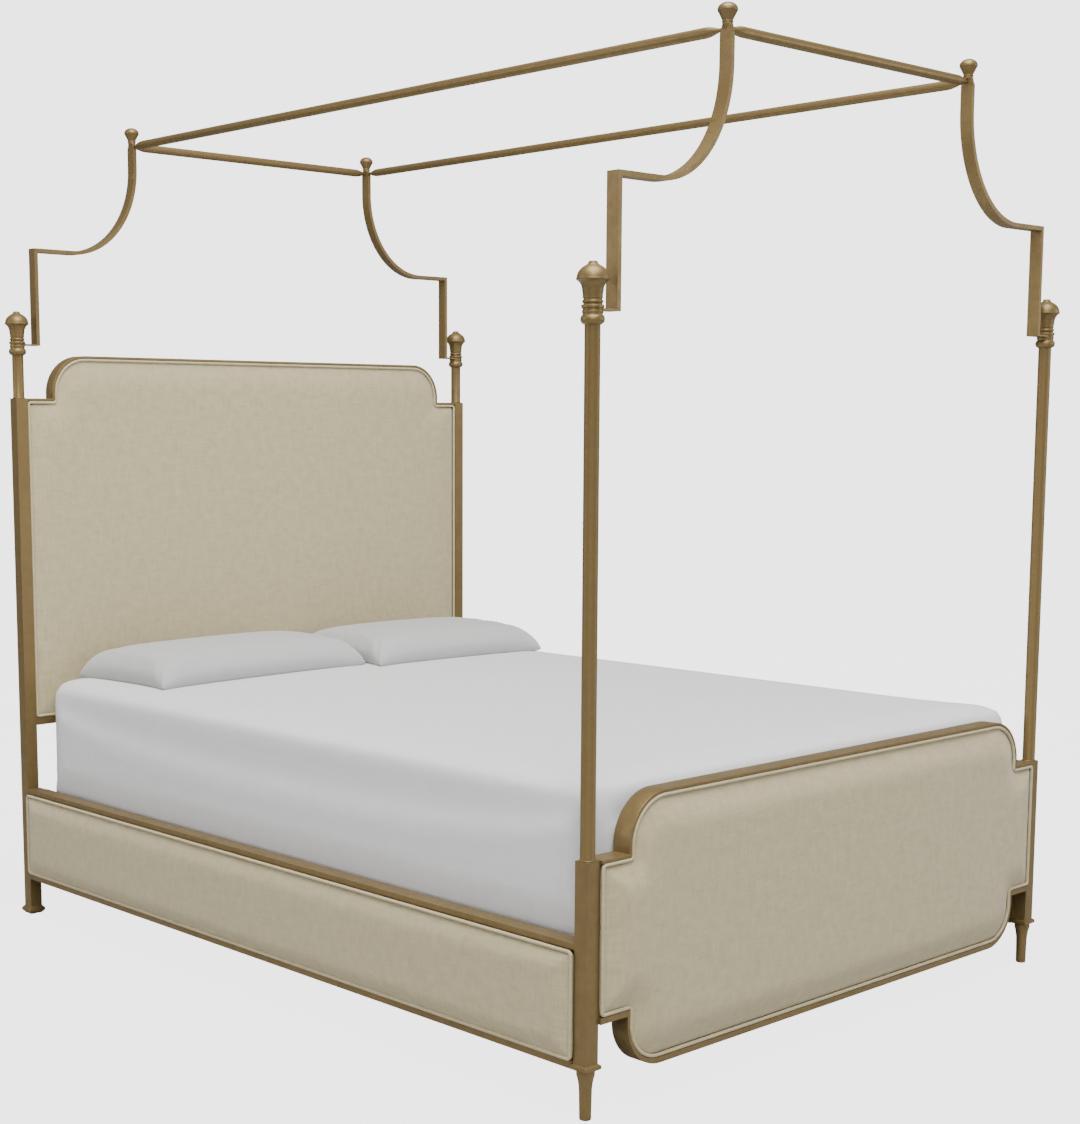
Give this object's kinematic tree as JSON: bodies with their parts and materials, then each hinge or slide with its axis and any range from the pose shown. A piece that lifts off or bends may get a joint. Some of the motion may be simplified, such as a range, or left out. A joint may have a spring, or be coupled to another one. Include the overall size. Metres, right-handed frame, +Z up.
{
  "type": "four poster canopy bed",
  "caption": "Metal four poster canopy bed with upholstered headboard, footboard and side rails, shaped canopy brackets with ball finials, a mattress and pillows.",
  "frame": {"origin": "on the floor, under the middle of the bed's overall box", "axes": "+Z up, +Y towards the headboard, -X the left side as seen from the foot"},
  "size_m": [1.664, 2.1838, 2.17],
  "materials": {
    "antique_brass": "satin",
    "linen": "matte",
    "linen_piping": "matte",
    "dust_cover": "matte",
    "plywood": "matte",
    "black_steel": "satin",
    "zinc_steel": "satin",
    "pine": "matte",
    "cotton": "matte"
  },
  "bodies": {
    "frame": {"post_tube_foot_left": "antique_brass", "post_tube_foot_right": "antique_brass", "post_tube_head_left": "antique_brass", "post_tube_head_right": "antique_brass", "sleeve_foot_left": "antique_brass", "sleeve_foot_right": "antique_brass", "sleeve_head_left": "antique_brass", "sleeve_head_right": "antique_brass", "turned_leg_left": "antique_brass", "turned_leg_right": "antique_brass", "head_base_left": "antique_brass", "head_base_right": "antique_brass", "post_finial_foot_left": "antique_brass", "post_finial_foot_right": "antique_brass", "post_finial_head_left": "antique_brass", "post_finial_head_right": "antique_brass", "bracket_foot_left": "antique_brass", "bracket_foot_right": "antique_brass", "bracket_head_left": "antique_brass", "bracket_head_right": "antique_brass", "ball_foot_left": "antique_brass", "ball_foot_right": "antique_brass", "ball_head_left": "antique_brass", "ball_head_right": "antique_brass", "canopy_rail_left": "antique_brass", "canopy_rail_right": "antique_brass", "canopy_rail_foot": "antique_brass", "canopy_rail_head": "antique_brass", "headboard_band": "antique_brass", "footboard_band": "antique_brass", "rail_frame_left": "antique_brass", "rail_frame_right": "antique_brass", "headboard_board": "plywood", "footboard_board": "plywood", "rail_board_left": "plywood", "rail_board_right": "plywood", "headboard_pad": "linen", "footboard_pad": "linen", "rail_pad_left": "linen", "rail_pad_right": "linen", "headboard_welt": "linen_piping", "footboard_welt": "linen_piping", "rail_welt_left": "linen_piping", "rail_welt_right": "linen_piping", "headboard_cover": "dust_cover", "footboard_cover": "dust_cover", "rail_cover_left": "dust_cover", "rail_cover_right": "dust_cover", "cross_rail_foot": "black_steel", "cross_rail_head": "black_steel", "centre_beam": "black_steel", "centre_leg_foot": "black_steel", "centre_leg_head": "black_steel", "bolts": "zinc_steel", "slats": "pine"},
    "mattress": {"mattress": "cotton"},
    "pillow_left": {"pillow_left": "cotton"},
    "pillow_right": {"pillow_right": "cotton"},
    "glide_foot": {"glide_foot": "zinc_steel"},
    "glide_head": {"glide_head": "zinc_steel"}
  },
  "joints": [
    {"name": "mattress_lift", "type": "slide", "parent": "frame", "child": "mattress", "axis": [0, 0, 1], "range_m": [0, 0.3]},
    {"name": "pillow_left_lift", "type": "slide", "parent": "mattress", "child": "pillow_left", "axis": [0, 0, 1], "range_m": [0, 0.25]},
    {"name": "pillow_right_lift", "type": "slide", "parent": "mattress", "child": "pillow_right", "axis": [0, 0, 1], "range_m": [0, 0.25]},
    {"name": "glide_foot_screw", "type": "slide", "parent": "frame", "child": "glide_foot", "axis": [0, 0, 1], "range_m": [0, 0.015]},
    {"name": "glide_head_screw", "type": "slide", "parent": "frame", "child": "glide_head", "axis": [0, 0, 1], "range_m": [0, 0.015]}
  ]
}
